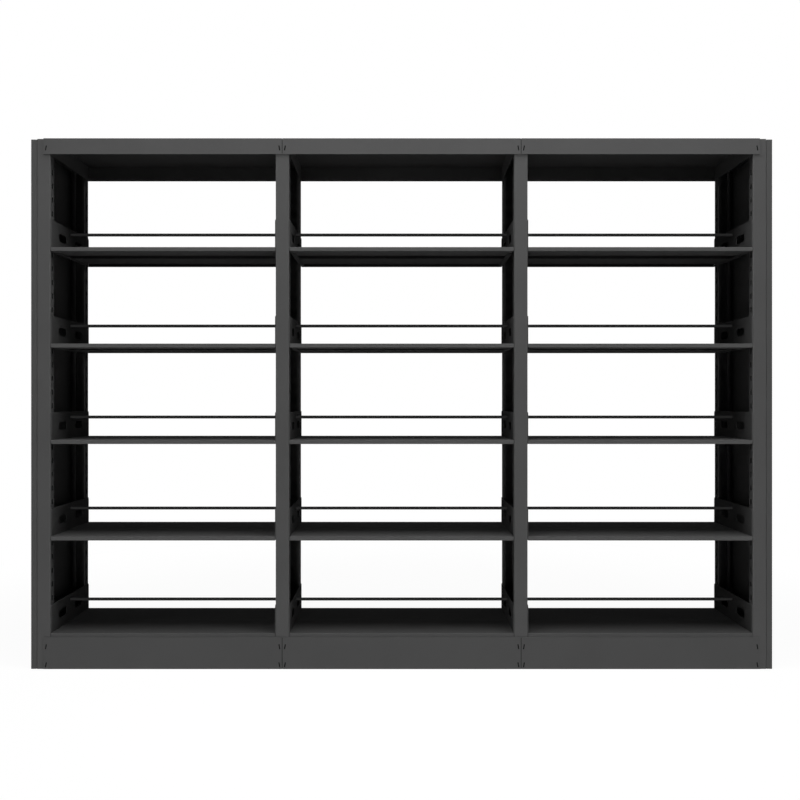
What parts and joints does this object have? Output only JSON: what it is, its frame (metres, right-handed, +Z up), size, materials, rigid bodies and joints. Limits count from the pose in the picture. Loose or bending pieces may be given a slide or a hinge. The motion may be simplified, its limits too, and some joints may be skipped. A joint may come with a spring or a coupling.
{
  "type": "library shelving rack",
  "caption": "Double-faced steel library rack: bays of paired half-depth shelves with stop rods, hung on slotted columns between end panels, under folded top panels.",
  "frame": {"origin": "on the floor, at the middle of the rack's footprint", "axes": "+X along the rack, +Y from the front to the rear, +Z up"},
  "size_m": [2.7946, 0.45, 2],
  "materials": {
    "column_paint": "charcoal powder coat, satin, fine grain",
    "end_panel_paint": "charcoal powder coat, satin, fine grain",
    "top_panel_paint": "charcoal powder coat, satin, fine grain",
    "base_paint": "charcoal powder coat, satin, fine grain",
    "bracket_paint": "charcoal powder coat, satin, fine grain",
    "shelf_paint": "charcoal powder coat, satin, fine grain"
  },
  "bodies": {
    "rack": {"front_column_1": "column_paint", "front_column_2": "column_paint", "front_column_3": "column_paint", "front_column_4": "column_paint", "rear_column_1": "column_paint", "rear_column_2": "column_paint", "rear_column_3": "column_paint", "rear_column_4": "column_paint", "end_panel_left": "end_panel_paint", "end_panel_right": "end_panel_paint", "top_panel_bay1": "top_panel_paint", "top_panel_bay2": "top_panel_paint", "top_panel_bay3": "top_panel_paint", "front_base_bay1": "base_paint", "front_base_bay2": "base_paint", "front_base_bay3": "base_paint", "rear_base_bay1": "base_paint", "rear_base_bay2": "base_paint", "rear_base_bay3": "base_paint", "brackets_bay1_level1": "bracket_paint", "brackets_bay1_level2": "bracket_paint", "brackets_bay1_level3": "bracket_paint", "brackets_bay1_level4": "bracket_paint", "brackets_bay1_level5": "bracket_paint", "brackets_bay2_level1": "bracket_paint", "brackets_bay2_level2": "bracket_paint", "brackets_bay2_level3": "bracket_paint", "brackets_bay2_level4": "bracket_paint", "brackets_bay2_level5": "bracket_paint", "brackets_bay3_level1": "bracket_paint", "brackets_bay3_level2": "bracket_paint", "brackets_bay3_level3": "bracket_paint", "brackets_bay3_level4": "bracket_paint", "brackets_bay3_level5": "bracket_paint"},
    "front_shelf_bay1_level2": {"front_shelf_bay1_level2": "shelf_paint"},
    "rear_shelf_bay1_level2": {"rear_shelf_bay1_level2": "shelf_paint"},
    "front_shelf_bay1_level3": {"front_shelf_bay1_level3": "shelf_paint"},
    "rear_shelf_bay1_level3": {"rear_shelf_bay1_level3": "shelf_paint"},
    "front_shelf_bay1_level4": {"front_shelf_bay1_level4": "shelf_paint"},
    "rear_shelf_bay1_level4": {"rear_shelf_bay1_level4": "shelf_paint"},
    "front_shelf_bay1_level5": {"front_shelf_bay1_level5": "shelf_paint"},
    "rear_shelf_bay1_level5": {"rear_shelf_bay1_level5": "shelf_paint"},
    "front_shelf_bay2_level2": {"front_shelf_bay2_level2": "shelf_paint"},
    "rear_shelf_bay2_level2": {"rear_shelf_bay2_level2": "shelf_paint"},
    "front_shelf_bay2_level3": {"front_shelf_bay2_level3": "shelf_paint"},
    "rear_shelf_bay2_level3": {"rear_shelf_bay2_level3": "shelf_paint"},
    "front_shelf_bay2_level4": {"front_shelf_bay2_level4": "shelf_paint"},
    "rear_shelf_bay2_level4": {"rear_shelf_bay2_level4": "shelf_paint"},
    "front_shelf_bay2_level5": {"front_shelf_bay2_level5": "shelf_paint"},
    "rear_shelf_bay2_level5": {"rear_shelf_bay2_level5": "shelf_paint"},
    "front_shelf_bay3_level2": {"front_shelf_bay3_level2": "shelf_paint"},
    "rear_shelf_bay3_level2": {"rear_shelf_bay3_level2": "shelf_paint"},
    "front_shelf_bay3_level3": {"front_shelf_bay3_level3": "shelf_paint"},
    "rear_shelf_bay3_level3": {"rear_shelf_bay3_level3": "shelf_paint"},
    "front_shelf_bay3_level4": {"front_shelf_bay3_level4": "shelf_paint"},
    "rear_shelf_bay3_level4": {"rear_shelf_bay3_level4": "shelf_paint"},
    "front_shelf_bay3_level5": {"front_shelf_bay3_level5": "shelf_paint"},
    "rear_shelf_bay3_level5": {"rear_shelf_bay3_level5": "shelf_paint"}
  },
  "joints": [
    {"name": "front_shelf_bay1_level2_lift", "type": "slide", "parent": "rack", "child": "front_shelf_bay1_level2", "axis": [0, 0, 1], "range_m": [0, 0.06]},
    {"name": "rear_shelf_bay1_level2_lift", "type": "slide", "parent": "rack", "child": "rear_shelf_bay1_level2", "axis": [0, 0, 1], "range_m": [0, 0.06]},
    {"name": "front_shelf_bay1_level3_lift", "type": "slide", "parent": "rack", "child": "front_shelf_bay1_level3", "axis": [0, 0, 1], "range_m": [0, 0.06]},
    {"name": "rear_shelf_bay1_level3_lift", "type": "slide", "parent": "rack", "child": "rear_shelf_bay1_level3", "axis": [0, 0, 1], "range_m": [0, 0.06]},
    {"name": "front_shelf_bay1_level4_lift", "type": "slide", "parent": "rack", "child": "front_shelf_bay1_level4", "axis": [0, 0, 1], "range_m": [0, 0.06]},
    {"name": "rear_shelf_bay1_level4_lift", "type": "slide", "parent": "rack", "child": "rear_shelf_bay1_level4", "axis": [0, 0, 1], "range_m": [0, 0.06]},
    {"name": "front_shelf_bay1_level5_lift", "type": "slide", "parent": "rack", "child": "front_shelf_bay1_level5", "axis": [0, 0, 1], "range_m": [0, 0.06]},
    {"name": "rear_shelf_bay1_level5_lift", "type": "slide", "parent": "rack", "child": "rear_shelf_bay1_level5", "axis": [0, 0, 1], "range_m": [0, 0.06]},
    {"name": "front_shelf_bay2_level2_lift", "type": "slide", "parent": "rack", "child": "front_shelf_bay2_level2", "axis": [0, 0, 1], "range_m": [0, 0.06]},
    {"name": "rear_shelf_bay2_level2_lift", "type": "slide", "parent": "rack", "child": "rear_shelf_bay2_level2", "axis": [0, 0, 1], "range_m": [0, 0.06]},
    {"name": "front_shelf_bay2_level3_lift", "type": "slide", "parent": "rack", "child": "front_shelf_bay2_level3", "axis": [0, 0, 1], "range_m": [0, 0.06]},
    {"name": "rear_shelf_bay2_level3_lift", "type": "slide", "parent": "rack", "child": "rear_shelf_bay2_level3", "axis": [0, 0, 1], "range_m": [0, 0.06]},
    {"name": "front_shelf_bay2_level4_lift", "type": "slide", "parent": "rack", "child": "front_shelf_bay2_level4", "axis": [0, 0, 1], "range_m": [0, 0.06]},
    {"name": "rear_shelf_bay2_level4_lift", "type": "slide", "parent": "rack", "child": "rear_shelf_bay2_level4", "axis": [0, 0, 1], "range_m": [0, 0.06]},
    {"name": "front_shelf_bay2_level5_lift", "type": "slide", "parent": "rack", "child": "front_shelf_bay2_level5", "axis": [0, 0, 1], "range_m": [0, 0.06]},
    {"name": "rear_shelf_bay2_level5_lift", "type": "slide", "parent": "rack", "child": "rear_shelf_bay2_level5", "axis": [0, 0, 1], "range_m": [0, 0.06]},
    {"name": "front_shelf_bay3_level2_lift", "type": "slide", "parent": "rack", "child": "front_shelf_bay3_level2", "axis": [0, 0, 1], "range_m": [0, 0.06]},
    {"name": "rear_shelf_bay3_level2_lift", "type": "slide", "parent": "rack", "child": "rear_shelf_bay3_level2", "axis": [0, 0, 1], "range_m": [0, 0.06]},
    {"name": "front_shelf_bay3_level3_lift", "type": "slide", "parent": "rack", "child": "front_shelf_bay3_level3", "axis": [0, 0, 1], "range_m": [0, 0.06]},
    {"name": "rear_shelf_bay3_level3_lift", "type": "slide", "parent": "rack", "child": "rear_shelf_bay3_level3", "axis": [0, 0, 1], "range_m": [0, 0.06]},
    {"name": "front_shelf_bay3_level4_lift", "type": "slide", "parent": "rack", "child": "front_shelf_bay3_level4", "axis": [0, 0, 1], "range_m": [0, 0.06]},
    {"name": "rear_shelf_bay3_level4_lift", "type": "slide", "parent": "rack", "child": "rear_shelf_bay3_level4", "axis": [0, 0, 1], "range_m": [0, 0.06]},
    {"name": "front_shelf_bay3_level5_lift", "type": "slide", "parent": "rack", "child": "front_shelf_bay3_level5", "axis": [0, 0, 1], "range_m": [0, 0.06]},
    {"name": "rear_shelf_bay3_level5_lift", "type": "slide", "parent": "rack", "child": "rear_shelf_bay3_level5", "axis": [0, 0, 1], "range_m": [0, 0.06]}
  ]
}
